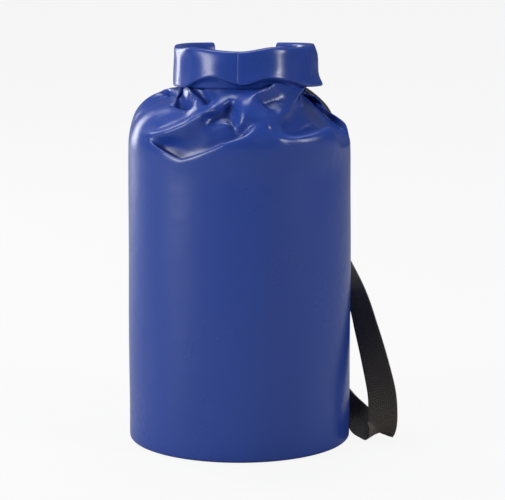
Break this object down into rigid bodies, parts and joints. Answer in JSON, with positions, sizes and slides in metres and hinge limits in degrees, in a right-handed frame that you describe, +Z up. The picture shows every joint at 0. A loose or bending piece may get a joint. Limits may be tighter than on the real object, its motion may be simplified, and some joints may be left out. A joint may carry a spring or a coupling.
{
  "type": "dry bag",
  "caption": "Round-based waterproof roll-top bag, stuffed and standing, its rolled mouth bent into a ring and buckled behind, with a webbing shoulder strap.",
  "frame": {"origin": "middle of the round base's underside", "axes": "+Z up through the closed roll, +Y towards the buckle and the strap's anchors at the back, +X towards the side the strap hangs on"},
  "size_m": [0.2736, 0.2258, 0.4128],
  "materials": {
    "tarpaulin": "satin coated",
    "webbing": "woven matte",
    "buckle_plastic": "moulded satin",
    "strip_plastic": "matte",
    "ring_steel": "black coated"
  },
  "bodies": {
    "bag": {"bag_wall": "tarpaulin", "base_panel": "tarpaulin", "base_weld_ring": "tarpaulin", "back_seam_strip": "tarpaulin", "anchor_patch": "tarpaulin", "lower_tab": "webbing", "upper_tab": "webbing"},
    "roll": {"roll_front": "tarpaulin", "mouth_stiffener": "strip_plastic", "mouth_gather": "tarpaulin"},
    "left_end": {"roll_left_end": "tarpaulin", "left_tab": "webbing", "buckle_socket": "buckle_plastic"},
    "right_end": {"roll_right_end": "tarpaulin", "right_tab": "webbing", "buckle_plug": "buckle_plastic"},
    "strap": {"shoulder_strap": "webbing", "strap_return": "webbing", "upper_ring": "ring_steel", "lower_ring": "ring_steel"},
    "slider": {"strap_slider": "buckle_plastic"}
  },
  "joints": [
    {"name": "roll_unroll", "type": "slide", "parent": "bag", "child": "roll", "axis": [0, 0, 1], "range_m": [0, 0.06]},
    {"name": "left_end_open", "type": "hinge", "parent": "roll", "child": "left_end", "pos_m": [-0.06604, -0.01007, 0.38579], "axis": [0, 0.1219, 0.9925], "range_deg": [0, 60], "deforming": ["mouth_stiffener", "buckle_plug"]},
    {"name": "right_end_open", "type": "hinge", "parent": "roll", "child": "right_end", "pos_m": [0.07804, -0.01007, 0.38579], "axis": [0, 0.1219, 0.9925], "range_deg": [-60, 0], "deforming": ["mouth_stiffener"]},
    {"name": "strap_swing", "type": "hinge", "parent": "bag", "child": "strap", "pos_m": [0.07502, 0.09527, 0.17], "axis": [0, 0, 1], "range_deg": [0, 90], "deforming": ["upper_tab", "lower_tab"]},
    {"name": "slider_adjust", "type": "slide", "parent": "strap", "child": "slider", "axis": [0, 0, 1], "range_m": [0, 0.04], "deforming": ["strap_return"]}
  ],
  "couplings": [
    {"joint": "right_end_open", "follows": "left_end_open", "ratio": -1}
  ]
}
